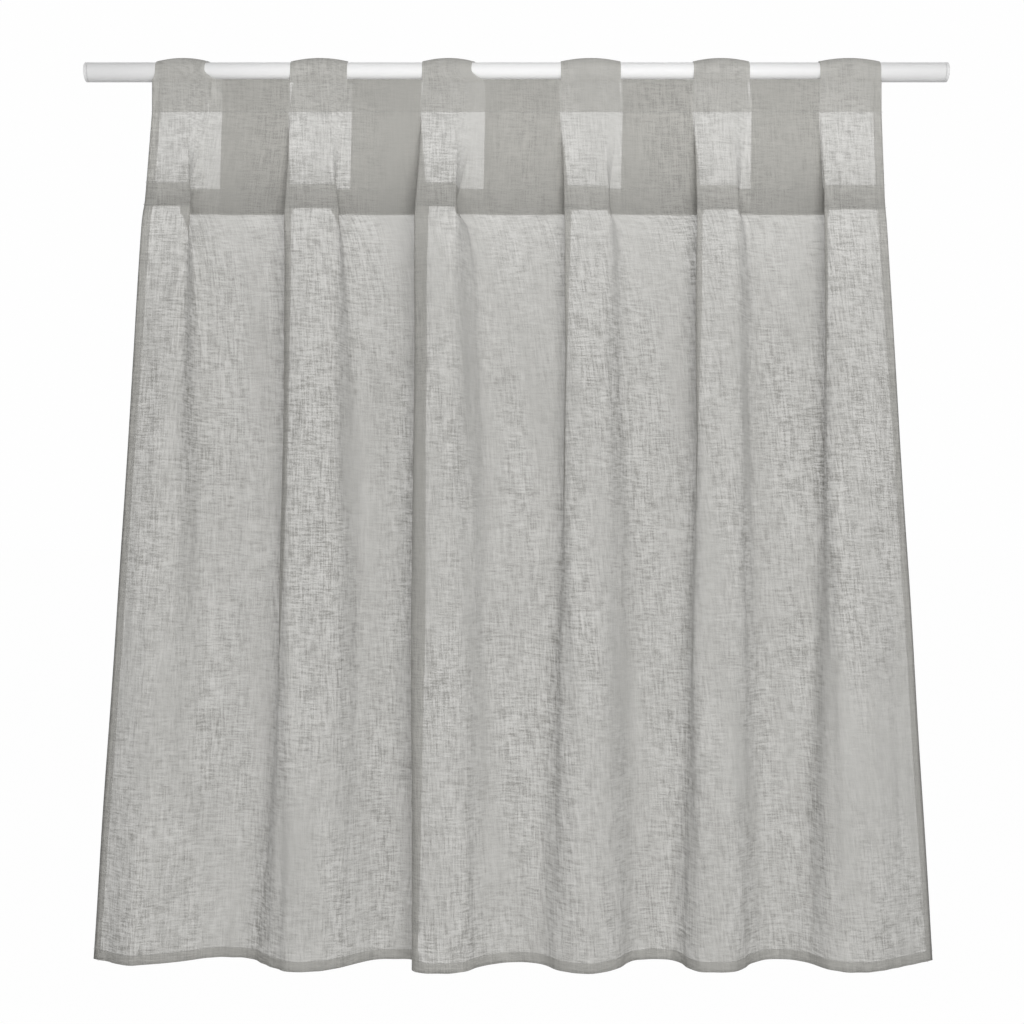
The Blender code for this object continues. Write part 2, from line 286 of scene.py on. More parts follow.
class StudioSettings(bpy.types.PropertyGroup):
    floor_depth: FloatProperty(
        name="Floor depth",
        description="How far the floor is under the rod's axis",
        default=1.30,
        min=0.9,
        unit="LENGTH",
    )
    key_power: FloatProperty(
        name="Key light",
        description="Power of the soft light at the front right",
        default=22.3,
        min=0.0,
        unit="POWER",
    )
    low_power: FloatProperty(
        name="Low light",
        description="Power of the soft light at the front, below",
        default=7.2,
        min=0.0,
        unit="POWER",
    )
    fill_low: FloatProperty(
        name="Fill from below",
        description="Strength of the even light from the pale floor's side",
        default=0.37,
        min=0.0,
    )
    fill_high: FloatProperty(
        name="Fill from above",
        description="Strength of the even light from overhead",
        default=0.27,
        min=0.0,
    )


def between(start, end, share):
    """The value, point or row at a share of the way from start to end."""
    return start + (end - start) * share


def tab_edges(tab):
    half = TAB_WIDTHS[tab] / 2
    return TAB_CENTRES[tab] - half, TAB_CENTRES[tab] + half


def top_corners():
    return tab_edges(0)[0] - EDGE_LEFT, tab_edges(TABS - 1)[1] + EDGE_RIGHT


def heading_corners():
    """The cross-section's control points at the heading's lower edge."""
    left, right = top_corners()
    valley = VALLEY_SET_BACK - FRONT
    points = [(left - SPREAD_LEFT, -FRONT - RIDGE_PROUD[0])]
    for tab in range(TABS):
        low, high = tab_edges(tab)
        ridge = -FRONT - RIDGE_PROUD[tab]
        end = high + RIDGE_RIGHT[tab]
        points.append((low + RIDGE_LEFT[tab], ridge))
        points.append((end, ridge))
        if tab < TABS - 1:
            after = tab_edges(tab + 1)[0] + RIDGE_LEFT[tab + 1]
            points.append((end - TUCK_RIGHT[tab], valley))
            points.append((after + TUCK_LEFT[tab], valley))
    points.append((right + SPREAD_RIGHT, ridge))
    return np.array(points)


def slope(start, end, takes):
    """The foot and head of a slope between two turning points."""
    deep = abs(end[1] - start[1])
    long = (takes**2 + deep**2) / (2 * takes)
    run = (deep**2 - takes**2) / (2 * takes)
    foot = start[0] + (end[0] - start[0] + takes - long) / 2
    return (foot, start[1]), (foot + run, end[1])


def hem_corners():
    """The cross-section's control points at the hem."""
    crests = [x + shift for x, shift in zip(TAB_CENTRES, CREST_SHIFT)]
    left = (crests[0] - HEM_LEFT_OUT, HEM_LEFT_BACK)
    right = (crests[-1] + HEM_RIGHT_OUT, HEM_RIGHT_BACK)
    points = [left]
    trough = None
    for tab in range(TABS):
        crest = (crests[tab], -CREST_FRONT[tab])
        if trough:
            points.extend(slope(trough, crest, RISE_TAKES[tab]))
        else:
            points.append(slope(left, crest, RISE_TAKES[0])[1])
        if tab < TABS - 1:
            x = between(crests[tab], crests[tab + 1], TROUGH_SHARE[tab])
            trough = (x, TROUGH_BACK[tab])
            points.extend(slope(crest, trough, FALL_TAKES[tab]))
        else:
            points.append(slope(crest, right, FALL_TAKES[tab])[0])
    points.append(right)
    return np.array(points)


def along(line):
    """How far each point lies along a line from its first."""
    return np.concatenate([[0.0], np.cumsum(np.linalg.norm(np.diff(line, axis=0), axis=1))])


def bends_of(share):
    """How far each corner's rounding reaches: tight in the tucks, wide and soft at the hem."""
    left = between(CRISP_BEND, WAVE_BEND, share)
    right = between(CRISP_BEND, WAVE_BEND, share**SOFT_OPENING)
    bends = np.full(4 * TABS, left)
    for tab in range(TABS - 1):
        bends[ridge_start(tab) + 1] = right
        bends[valley_start(tab)] = right
    return bends


def rounded(corners, bends):
    """Points along a cross-section with its corners rounded, as many at each level."""
    legs = np.linalg.norm(np.diff(corners, axis=0), axis=1)
    line = [corners[0]]
    for i in range(1, len(corners) - 1):
        cut = min(bends[i], BEND_SHARE * legs[i - 1], BEND_SHARE * legs[i])
        start = corners[i] + (corners[i - 1] - corners[i]) * cut / legs[i - 1]
        end = corners[i] + (corners[i + 1] - corners[i]) * cut / legs[i]
        for t in np.linspace(0, 1, BEND_STEPS + 1):
            line.append((1 - t) ** 2 * start + 2 * t * (1 - t) * corners[i] + t * t * end)
    line.append(corners[-1])
    return np.array(line)


def first_of(corner):
    """The number of the first point of a corner's rounding."""
    return 1 + (corner - 1) * (BEND_STEPS + 1)


def last_of(corner):
    return first_of(corner) + BEND_STEPS


def ridge_start(tab):
    """The number of a ridge's left corner. Each tab has two corners for its ridge, and two
    for the valley after it."""
    return 1 + 4 * tab


def valley_start(tab):
    return 3 + 4 * tab


def body_corners(share):
    """Control points between the heading and the hem.

    A valley's left corner opens early, and its right one, the next ridge's tuck, opens late.
    """
    heading, hem = heading_corners(), hem_corners()
    corners = between(heading, hem, share)
    for tab in range(TABS - 1):
        for foot, rate in enumerate((EARLY_OPENING[tab], LATE_OPENING[tab]), valley_start(tab)):
            corners[foot, 0] = between(heading[foot, 0], hem[foot, 0], share**rate)
    return corners


def same_width(corners, bends, width):
    """Deepens or flattens the folds until the cloth has the width asked for."""
    low, high = 0.5, 2.0
    for _ in range(WIDTH_TRIES):
        factor = (low + high) / 2
        line = rounded(corners * np.array([1.0, factor]), bends)
        if along(line)[-1] < width:
            low = factor
        else:
            high = factor
    return line


def moved_back(line, distance):
    """The cross-section moved backwards, square to the cloth, by one distance or one a point."""
    ahead = np.gradient(line, axis=0)
    ahead = ahead / np.linalg.norm(ahead, axis=1)[:, None]
    return line + distance * np.stack([-ahead[:, 1], ahead[:, 0]], axis=1)


class Cloth:
    """The cloth's middle surface: dense columns that run from the top edge to the hem."""

    def __init__(self):
        coarse = rounded(heading_corners(), bends_of(0.0))
        hem = rounded(hem_corners(), bends_of(1.0))
        self.width = along(coarse)[-1]
        self.plan = []
        self.places = {}
        self.facings = {}
        long_at = [np.linalg.norm(np.diff(line, axis=0), axis=1) for line in (coarse, hem)]
        stops = {last_of(valley_start(k)): k for k in range(TABS - 1)}
        for n in range(len(coarse)):
            self.places[n] = len(self.plan)
            self.plan.append((n, 0.0))
            if n == len(coarse) - 1:
                break
            steps = max(1, math.ceil(max(long_at[0][n], long_at[1][n]) / FLAT_STEP))
            shares = [k / steps for k in range(1, steps)]
            if n in stops:
                low, high = coarse[n][0], coarse[n + 1][0]
                edge = tab_edges(stops[n])[1] + FACING_LOW[stops[n]]
                share = (edge - low) / (high - low)
                shares = sorted([s for s in shares if abs(s - share) > CLOSEST] + [share])
                self.facings[stops[n]] = len(self.plan) + shares.index(share)
            self.plan.extend((n, s) for s in shares)
        self.count = len(self.plan)
        self.low = self.dense(coarse)
        self.walked = along(self.low)
        self.top = self.top_section()

    def dense(self, line):
        """A cross-section's points at all the columns."""
        start = np.array([line[n] for n, _ in self.plan])
        end = np.array([line[min(n + 1, len(line) - 1)] for n, _ in self.plan])
        share = np.array([s for _, s in self.plan])[:, None]
        return start + (end - start) * share

    def top_section(self):
        """The flat top edge, with its cloth spread so that columns meet the tabs' edges."""
        left, right = top_corners()
        anchors = [(0, left)]
        for tab in range(TABS):
            low, high = tab_edges(tab)
            if tab:
                anchors.append((self.places[first_of(ridge_start(tab) - 1)], low - TUCK_ROOM))
                anchors.append((self.places[first_of(ridge_start(tab))], low))
            if tab < TABS - 1:
                flared = high + TAB_FLARES[tab]
                anchors.append((self.places[last_of(valley_start(tab))], flared))
                anchors.append((self.facings[tab], flared + FACING_TOP[tab]))
        anchors.append((self.count - 1, right))
        places = [self.walked[column] for column, _ in anchors]
        x = np.interp(self.walked, places, [x for _, x in anchors])
        return np.stack([x, np.full(self.count, -FRONT)], axis=1)

    def section(self, down):
        """The cloth's cross-section at one level."""
        share = 0.0
        if down > TOP_HEM:
            share = min(1.0, (down - TOP_HEM) / (HEADING - TOP_HEM))
        if down <= HEADING:
            return between(self.top, self.low, share)
        share = (down - HEADING) / (DROP - HEADING)
        width = between(self.width, BODY_WIDTH, min(1.0, share / CRISP_REACH))
        return self.dense(same_width(body_corners(share), bends_of(share), width))

    def own_walk(self, row, down):
        """How far each column lies from the left edge in the flat cloth, at one level."""
        own = along(row)
        if down > HEADING:
            return own * self.width / own[-1]
        marks = []
        for corner in range(1, 4 * TABS - 2, 2):
            start, end = self.places[first_of(corner)], self.places[last_of(corner + 1)]
            marks.append((start, end))
        marks[0] = (0, marks[0][1])
        marks[-1] = (marks[-1][0], self.count - 1)
        at, moved = [], []
        for start, end in marks:
            middle = (self.walked[start] + self.walked[end]) / 2
            shift = middle - (own[start] + own[end]) / 2
            at.extend((start, end))
            moved.extend((shift, shift))
        return own + np.interp(np.arange(self.count), at, moved)

    def tab_span(self, tab):
        """The columns of a tab's left and right edges."""
        first = self.places[first_of(ridge_start(tab))] if tab else 0
        last = self.places[last_of(valley_start(tab))] if tab < TABS - 1 else self.count - 1
        return first, last


def levels_of():
    """Row heights from the top edge to the hem, with a row on each sewing line."""
    marks = [TOP_EDGE, TOP_HEM, TAPE_TOP, HEADING, DROP - BOTTOM_HEM, DROP]
    levels = [marks[0]]
    for start, end in zip(marks, marks[1:]):
        steps = max(2, round((end - start) / ROW_STEP))
        levels.extend(between(start, end, k / steps) for k in range(1, steps + 1))
    return np.array(levels)


def ramp(levels, start, reach):
    """0 down to a start level, 1 from a reach below it, and evenly between."""
    return np.clip((levels - start) / reach, 0, 1)


def smoothed(rows, levels, reach):
    """Softens the bend of each column where the heading ends, over a reach in metres."""
    weights = np.exp(-(((levels[:, None] - levels[None, :]) / reach) ** 2))
    spacing = np.gradient(levels)
    weights = weights * spacing[None, :]
    weights = weights / weights.sum(axis=1)[:, None]
    soft = np.einsum("ij,jkl->ikl", weights, rows)
    near = ramp(levels, TOP_HEM, 2 * reach) * ramp(-levels, -DROP, 2 * reach)
    return rows + (soft - rows) * near[:, None, None]


def crinkles(walks, levels, height):
    """Small soft waves in the cloth, stronger below the heading."""
    draw = np.random.default_rng(CRINKLE_SEED)
    total = np.zeros(walks.shape)
    u, v = walks, levels[:, None]
    for _ in range(CRINKLES):
        across = 2 * math.pi / draw.uniform(*CRINKLE_WIDE)
        down = 2 * math.pi / draw.uniform(*CRINKLE_HIGH) * draw.choice([-1, 1])
        total += draw.uniform(0.3, 1.0) * np.sin(across * u + down * v + draw.uniform(0, 6.3))
    total *= height / CRINKLE_SHARE
    body = CRINKLE_HEADING + (1 - CRINKLE_HEADING) * ramp(levels, HEADING, CRINKLE_GROWS)
    body = body * ramp(levels, TOP_EDGE, TOP_FLAT)
    pucker = np.zeros_like(total)
    for line in (TOP_HEM, TAPE_TOP, HEADING):
        close = np.exp(-(((levels - line) / PUCKER_REACH) ** 2))[:, None]
        uneven = np.sin(u * 23 + line * 90)
        pucker += close * uneven * np.sin(2 * math.pi * u / PUCKER_WIDE + 3 * np.sin(u * 61))
    return total * body[:, None] + PUCKER_HEIGHT * pucker


def billows(cloth, walks, levels):
    """Valleys sag backwards and ridges crown forwards, less towards the hem."""
    total = np.zeros(walks.shape)
    corners = [(ridge_start(tab), -RIDGE_CROWN) for tab in range(TABS)]
    corners += [(valley_start(tab), VALLEY_SAG) for tab in range(TABS - 1)]
    for corner, height in corners:
        a, b = cloth.places[first_of(corner)], cloth.places[last_of(corner + 1)]
        reach = (walks[:, b] - walks[:, a])[:, None]
        share = (walks[:, a : b + 1] - walks[:, a][:, None]) / reach
        total[:, a : b + 1] += height * np.sin(math.pi * share) ** 2
    grow = ramp(levels, TOP_HEM, HEADING - TOP_HEM) * 0.5
    grow = grow + 0.5 * ramp(levels, HEADING, BILLOW_GROWS)
    fade = 1.0 - ramp(levels, HEADING, DROP - HEADING)
    return (grow * fade**0.8)[:, None] * total


def leaning(cloth, walks, levels):
    """How far the ridges' left sides lean back, below the heading."""
    total = np.zeros(walks.shape)
    for tab in range(1, TABS):
        ridge = ridge_start(tab)
        inner = cloth.places[last_of(ridge - 1)]
        tip = (cloth.places[first_of(ridge)] + cloth.places[last_of(ridge)]) // 2
        end = cloth.places[last_of(ridge + 1)]
        ahead = walks[:, tip : end + 1] - walks[:, tip][:, None]
        near = np.clip(1 - ahead / LEAN_WIDE[tab], 0, 1)
        total[:, tip : end + 1] = LEAN_DEEP[tab] * near**1.3
        behind = walks[:, inner:tip] - walks[:, inner][:, None]
        total[:, inner:tip] = LEAN_DEEP[tab] * behind / (walks[:, tip] - walks[:, inner])[:, None]
    grow = ramp(levels, HEADING - LEAN_STARTS, LEAN_GROWS)
    fade = 1.0 - LEAN_LOST * ramp(levels, HEADING, DROP - HEADING) ** 2
    return (grow * fade)[:, None] * total


def build_surface(settings):
    """The cloth, its row heights, its middle surface as rows of points (x, y), and the way
    along each row in the flat cloth."""
    cloth = Cloth()
    levels = levels_of()
    rows = np.array([cloth.section(down) for down in levels])
    rows = smoothed(rows, levels, SOFTENED)
    walks = np.array([cloth.own_walk(row, down) for row, down in zip(rows, levels)])
    bumps = crinkles(walks, levels, settings.crinkle) + billows(cloth, walks, levels)
    rows[:, :, 1] += leaning(cloth, walks, levels)
    rows = np.array([moved_back(row, bump[:, None]) for row, bump in zip(rows, bumps)])
    return cloth, levels, rows, walks


class Sheet:
    """Collects points, faces and flat places (in metres) for one mesh."""

    def __init__(self):
        self.points = []
        self.flat = []
        self.faces = []

    def add(self, grid, flat):
        """Adds a grid of points and returns the numbers of its corners."""
        rows, columns = grid.shape[:2]
        start = len(self.points)
        self.points.extend(grid.reshape(-1, 3).tolist())
        self.flat.extend(flat.reshape(-1, 2).tolist())
        return start + np.arange(rows * columns).reshape(rows, columns)

    def fill(self, numbers):
        """Adds faces between a grid's numbered points."""
        a, b = numbers[:-1, :-1], numbers[1:, :-1]
        c, d = numbers[1:, 1:], numbers[:-1, 1:]
        self.faces.extend(np.stack([a, b, c, d], axis=-1).reshape(-1, 4).tolist())

    def make(self, name, look):
        mesh = bpy.data.meshes.new(name)
        mesh.from_pydata(self.points, [], self.faces)
        flat = mesh.uv_layers.new(name="Flat")
        corner = np.empty(len(mesh.loops), np.int32)
        mesh.loops.foreach_get("vertex_index", corner)
        flat.data.foreach_set("uv", np.array(self.flat, np.float32)[corner].ravel())
        mesh.polygons.foreach_set("use_smooth", [True] * len(mesh.polygons))
        mesh.materials.append(look)
        made = bpy.data.objects.new(name, mesh)
        bpy.context.scene.collection.objects.link(made)
        return made


def grid_of(rows, levels):
    z = np.broadcast_to(-levels[:, None, None], (*rows.shape[:2], 1))
    return np.concatenate([rows, z], axis=2)


def raised(line, down):
    """A line of points or of ways along the cloth, set at one level."""
    return np.column_stack([line, np.full(len(line), -down)])


def flat_of(walks, levels):
    u, v = np.broadcast_arrays(walks, -levels[:, None])
    return np.stack([u, v], axis=2)


def at_walk(line, walked, distances):
    """Points of a line at distances along it."""
    return np.stack([np.interp(distances, walked, line[:, k]) for k in (0, 1)], axis=1)


def with_side_hems(row):
    """One row with the strips of both side hems turned back, from their sewn edges."""
    walked, back = along(row), moved_back(row, SIDE_TURN)
    left = at_walk(back, walked, SIDE_STRIP)
    right = at_walk(back, walked, walked[-1] - SIDE_STRIP)
    return np.concatenate([left, row, right[::-1]])


def panel_grid(levels, rows, walks):
    """The panel's rows with both side hems turned back and the bottom hem turned up."""
    full = np.array([with_side_hems(row) for row in rows])
    left, right = walks[:, :1] - SIDE_STRIP, walks[:, -1:] + SIDE_STRIP[::-1]
    u = np.concatenate([left, walks, right], axis=1)
    last, strip = full[-1], len(SIDE_STRIP)
    hem_rows, hem_flat = [], []
    for share in BOTTOM_ROWS:
        up = BOTTOM_HEM * share
        line = last.copy()
        source = rows[np.argmin(abs(levels - (DROP - up)))]
        line[strip:-strip] = moved_back(source, BOTTOM_TURN)
        line[:strip] += line[strip] - last[strip]
        line[-strip:] += line[-strip - 1] - last[-strip - 1]
        hem_rows.append(raised(line, DROP - up))
        hem_flat.append(raised(u[-1], DROP + up + FOLD))
    grid = np.concatenate([grid_of(full, levels), np.array(hem_rows)])
    flat = np.concatenate([flat_of(u, levels), np.array(hem_flat)])
    return grid, flat


def tab_grid(cloth, walks, tab):
    """One tab's rows: up the front, over the rod and down the back to the top-hem line."""
    first, last = cloth.tab_span(tab)
    start = cloth.top[first : last + 1, 0]
    share = (start - start[0]) / (start[-1] - start[0])
    low, high = tab_edges(tab)
    plain = between(low, high, share)
    arch = TAB_ARCH * (1 - (2 * share - 1) ** 2)
    flare = start - plain
    pinch = TAB_PINCH * TAB_FLARES[tab] * share**2
    rows, lengths = [], []
    for down in np.linspace(*TAB_FRONT_ROWS):
        up = (TOP_EDGE - down) / TOP_EDGE
        x = plain + flare * (1 - up) ** 2.6 - pinch * np.sin(math.pi / 2 * up) ** 2
        rows.append(raised(np.column_stack([x, np.full(len(x), -FRONT)]), down))
        lengths.append(TOP_EDGE - down)
    for turn in np.linspace(math.pi, TAB_TURN, TAB_STEPS + 1):
        upward = max(0.0, math.sin(turn)) ** 1.5
        radius = FRONT + arch * upward
        x = plain - pinch * max(0.0, -math.cos(turn)) ** 0.7
        rows.append(np.column_stack([x, radius * math.cos(turn), radius * math.sin(turn)]))
        lengths.append(TOP_EDGE + (math.pi - turn) * FRONT)
    tail, turned = rows[-1], lengths[-1]
    sewn = np.column_stack([plain, np.full(len(plain), BEHIND_HEM - FRONT)])
    foot, end = raised(sewn, TOP_HEM - TAB_SEWN), raised(sewn, TOP_HEM - GAP)
    for k in range(1, TAB_BACK_ROWS + 1):
        rows.append(between(tail, foot, k / TAB_BACK_ROWS))
        lengths.append(turned + TAB_TAIL * k / TAB_BACK_ROWS)
    for k in (1, 2):
        rows.append(between(foot, end, k / 2))
        lengths.append(turned + TAB_TAIL + TAB_SEWN * k / 2)
    flat = flat_of(walks[0, first : last + 1], TOP_EDGE - np.array(lengths))
    return first, last, np.array(rows), flat


def turned_top(cloth, walks, first, last):
    """The top edge turned down behind, between two tabs, to the top-hem line."""
    line = cloth.top[first : last + 1]
    walked = walks[0, first : last + 1]
    rows, flats = [], []
    downs = np.linspace(TOP_EDGE, TOP_HEM - GAP, TOP_ROWS)
    turn = TOP_TURN / 2
    for down, back in ((TOP_EDGE - turn, turn), *((down, TOP_TURN) for down in downs)):
        rows.append(raised(line + np.array([0.0, back]), down))
        flats.append(raised(walked, 2 * TOP_EDGE - TOP_TURN - down))
    return np.array(rows), np.array(flats)


def feed(tree, node, inputs):
    """Sets a node's inputs, each to a plain value or to another node's output."""
    for name, value in inputs.items():
        if isinstance(value, bpy.types.NodeSocket):
            tree.links.new(value, node.inputs[name])
        else:
            node.inputs[name].default_value = value


def new_node(tree, kind, inputs=None, **choices):
    """Adds a node to a tree with its choices made and its inputs set."""
    made = tree.nodes.new(kind)
    for name, value in choices.items():
        setattr(made, name, value)
    feed(tree, made, inputs or {})
    return made


def maths(tree, kind, *values):
    """One step of reckoning with plain values and other nodes' outputs."""
    return new_node(tree, "ShaderNodeMath", dict(enumerate(values)), operation=kind).outputs[0]


def spread(tree, value, low, high, start=0.0, end=1.0):
    """A value that runs from start to end, spread over low to high."""
    inputs = {"Value": value, "From Min": start, "From Max": end, "To Min": low, "To Max": high}
    return new_node(tree, "ShaderNodeMapRange", inputs).outputs["Result"]


def multiplied(tree, colour, by, limited=False):
    """One colour times another, or times a shade."""
    choices = {"data_type": "RGBA", "blend_type": "MULTIPLY", "clamp_result": limited}
    inputs = {"Factor": 1.0, "A": colour, "B": by}
    return new_node(tree, "ShaderNodeMix", inputs, **choices).outputs["Result"]


def piece_noise(tree, scale):
    """Fine noise that is fixed to its piece, at a rate per metre."""
    place = new_node(tree, "ShaderNodeTexCoord").outputs["Object"]
    inputs = {"Vector": place, "Scale": scale}
    return new_node(tree, "ShaderNodeTexNoise", inputs).outputs["Fac"]


def new_material(name):
    """A material, its node tree and its shader."""
    made = bpy.data.materials.new(name)
    made.use_nodes = True
    return made, made.node_tree, made.node_tree.nodes["Principled BSDF"]


def weave_group():
    """Shader group: slubby crossed threads from flat places in metres."""
    tree = bpy.data.node_groups.new("Linen weave", "ShaderNodeTree")
    face = tree.interface
    face.new_socket("Flat", in_out="INPUT", socket_type="NodeSocketVector")
    for name in ("Slub", "Mottle"):
        socket = face.new_socket(name, in_out="INPUT", socket_type="NodeSocketFloat")
        socket.default_value = 1.0
    for name in ("Threads", "Relief"):
        face.new_socket(name, in_out="OUTPUT", socket_type="NodeSocketFloat")
    given = new_node(tree, "NodeGroupInput").outputs

    def noise(first, second, detail, start):
        """Noise that changes in two ways, each at its rates across and down the cloth."""
        place = {"Z": start}
        for axis, rates in (("X", first), ("Y", second)):
            inputs = {0: given["Flat"], 1: (*rates, 0.0)}
            way = new_node(tree, "ShaderNodeVectorMath", inputs, operation="DOT_PRODUCT")
            place[axis] = way.outputs["Value"]
        spot = new_node(tree, "ShaderNodeCombineXYZ", place).outputs["Vector"]
        inputs = {"Vector": spot, "Scale": 1.0, "Detail": detail, "Roughness": 0.55}
        return new_node(tree, "ShaderNodeTexNoise", inputs).outputs["Fac"]

    crossed = maths(tree, "ADD", noise(*WARP), noise(*WEFT))
    crossed = maths(tree, "SUBTRACT", crossed, 1.0)
    grain = maths(tree, "SUBTRACT", noise(*GRAIN), 0.5)
    crossed = maths(tree, "MULTIPLY_ADD", grain, GRAIN_SHARE, crossed)
    uneven = maths(tree, "MULTIPLY_ADD", noise(*PATCHES), *PATCH_RANGE)
    uneven = maths(tree, "MAXIMUM", uneven, PATCH_LEAST)
    crossed = maths(tree, "MULTIPLY", crossed, uneven)
    threads = maths(tree, "MULTIPLY", crossed, given["Slub"])
    wide = maths(tree, "SUBTRACT", noise(*MOTTLE), 0.5)
    wide = maths(tree, "MULTIPLY", wide, given["Mottle"])
    both = maths(tree, "MULTIPLY_ADD", wide, MOTTLE_SHARE, threads)
    new_node(tree, "NodeGroupOutput", {"Threads": both, "Relief": threads})
    return tree


def painted_level_shade(tree, flat):
    """The cloth's painted light and shade at its height, by a curve through the listed levels."""
    start, end = PAINTED_LEVEL_SHADES[0][0], PAINTED_LEVEL_SHADES[-1][0]
    height = new_node(tree, "ShaderNodeSeparateXYZ", {"Vector": flat}).outputs["Y"]
    down = spread(tree, height, 0.0, 1.0, -start, -end)
    painted_level = new_node(tree, "ShaderNodeFloatCurve", {"Value": down})
    places = [((level - start) / (end - start), shade - 0.5) for level, shade in PAINTED_LEVEL_SHADES]
    points = painted_level.mapping.curves[0].points
    points[0].location = places[0]
    for place in places[1:-1]:
        points.new(*place)
    points[-1].location = places[-1]
    for point in points:
        point.handle_type = "VECTOR"
    painted_level.mapping.update()
    return maths(tree, "ADD", painted_level.outputs["Value"], 0.5)


def cloth_material(name, weave, colour, cover, through, slub=1.0):
    """A semi-sheer woven material: threads that reflect and pass light, with open gaps."""
    made, tree, shader = new_material(name)
    flat = new_node(tree, "ShaderNodeUVMap", uv_map="Flat").outputs["UV"]
    inputs = {"Flat": flat, "Slub": slub}
    woven = new_node(tree, "ShaderNodeGroup", inputs, node_tree=weave).outputs
    # painted light and shade by height, multiplied into the thread colour below
    painted_level = painted_level_shade(tree, flat)
    shade = spread(tree, woven["Threads"], *THREAD_SHADES, -0.5, 0.5)
    tint = multiplied(tree, (*colour, 1.0), maths(tree, "MULTIPLY", shade, painted_level))
    inputs = {"Strength": 0.25, "Distance": THREAD_RELIEF, "Height": woven["Relief"]}
    bump = new_node(tree, "ShaderNodeBump", inputs).outputs["Normal"]
    inputs = {"Base Color": tint, "Roughness": 0.92, "Specular IOR Level": 0.12, "Normal": bump}
    feed(tree, shader, inputs)
    lifted = multiplied(tree, tint, LIFT, limited=True)
    glow = new_node(tree, "ShaderNodeBsdfTranslucent", {"Color": lifted, "Normal": bump})
    inputs = {"Fac": through, 1: shader.outputs["BSDF"], 2: glow.outputs["BSDF"]}
    thread = new_node(tree, "ShaderNodeMixShader", inputs).outputs["Shader"]
    gaps = spread(tree, woven["Threads"], cover - UNEVEN_GAPS, cover + UNEVEN_GAPS, -0.5, 0.5)
    # the gaps open wider where the cloth is painted paler, so more backdrop shows through as part
    # of the painted light
    opened = maths(tree, "MULTIPLY_ADD", painted_level, -OPENED, OPENED)
    covered = maths(tree, "ADD", gaps, opened)
    clear = new_node(tree, "ShaderNodeBsdfTransparent").outputs["BSDF"]
    whole = new_node(tree, "ShaderNodeMixShader", {"Fac": covered, 1: clear, 2: thread})
    feed(tree, tree.nodes["Material Output"], {"Surface": whole.outputs["Shader"]})
    return made


def cloth_looks(settings):
    """The cloth's materials, made once and shared by the pieces."""
    found = bpy.data.materials.get("Linen-look cloth")
    if found is None:
        weave = weave_group()
        colour = tuple(settings.cloth_colour)
        # a paler copy of the cloth colour for the facings, as painted light on the heading
        paler_copy = tuple(FACING_PAINTED_LIGHT * c for c in colour)
        both = (settings.cover, settings.through)
        cloth_material("Linen-look cloth", weave, colour, *both)
        cloth_material("Facing cloth", weave, paler_copy, *both, LINING_SLUB)
    return bpy.data.materials["Linen-look cloth"], bpy.data.materials["Facing cloth"]


def surface_of(settings):
    """The surface, worked out once for all the sewn pieces."""
    if "made" not in surface_of.__dict__:
        surface_of.made = build_surface(settings)
    return surface_of.made


class CURTAIN_OT_panel(bpy.types.Operator):
    """Build the folded cloth with its tabs and turned hems"""

    bl_idname = "curtain.panel"
    bl_label = "Cloth panel"

    def execute(self, context):
        settings = context.scene.curtain
        cloth, levels, rows, walks = surface_of(settings)
        look, _ = cloth_looks(settings)
        sheet = Sheet()
        numbers = sheet.add(*panel_grid(levels, rows, walks))
        sheet.fill(numbers)
        top = numbers[0, len(SIDE_STRIP) : -len(SIDE_STRIP)]
        for tab in range(TABS):
            first, last, strip, strip_flat = tab_grid(cloth, walks, tab)
            added = sheet.add(strip, strip_flat)
            sheet.fill(np.vstack([top[first : last + 1], added])[::-1])
        for tab in range(TABS - 1):
            first, last = cloth.tab_span(tab)[1], cloth.tab_span(tab + 1)[0]
            inner = int(np.searchsorted(cloth.top[:, 0], tab_edges(tab)[1]))
            added = sheet.add(*turned_top(cloth, walks, inner, last))
            sheet.fill(added[::-1])
            sheet.fill(np.vstack([top[first : last + 1], added[0, first - inner :]])[::-1])
        panel = sheet.make("cloth_panel", look)
        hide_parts("curtain_panel")
        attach(panel, "root")
        return {"FINISHED"}


def between_levels(levels, top, bottom):
    """The numbers of the rows from one sewing line to another."""
    return np.flatnonzero((levels > top - LEVEL_SLACK) & (levels < bottom + LEVEL_SLACK))


class CURTAIN_OT_tape(bpy.types.Operator):
    """Build the tape behind the heading's lower edge"""

    bl_idname = "curtain.tape"
    bl_label = "Heading tape"

    def execute(self, context):
        settings = context.scene.curtain
        cloth, levels, rows, walks = surface_of(settings)
        _, look = cloth_looks(settings)
        chosen = between_levels(levels, TAPE_TOP, HEADING)
        lines = np.array([moved_back(row, BEHIND_HEM) for row in rows[chosen]])
        flat = flat_of(walks[chosen] + TAPE_WEAVE, levels[chosen])
        sheet = Sheet()
        sheet.fill(sheet.add(grid_of(lines, levels[chosen]), flat))
        tape = sheet.make("heading_tape_cloth", look)
        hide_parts("heading_tape")
        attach(tape, "root")
        return {"FINISHED"}


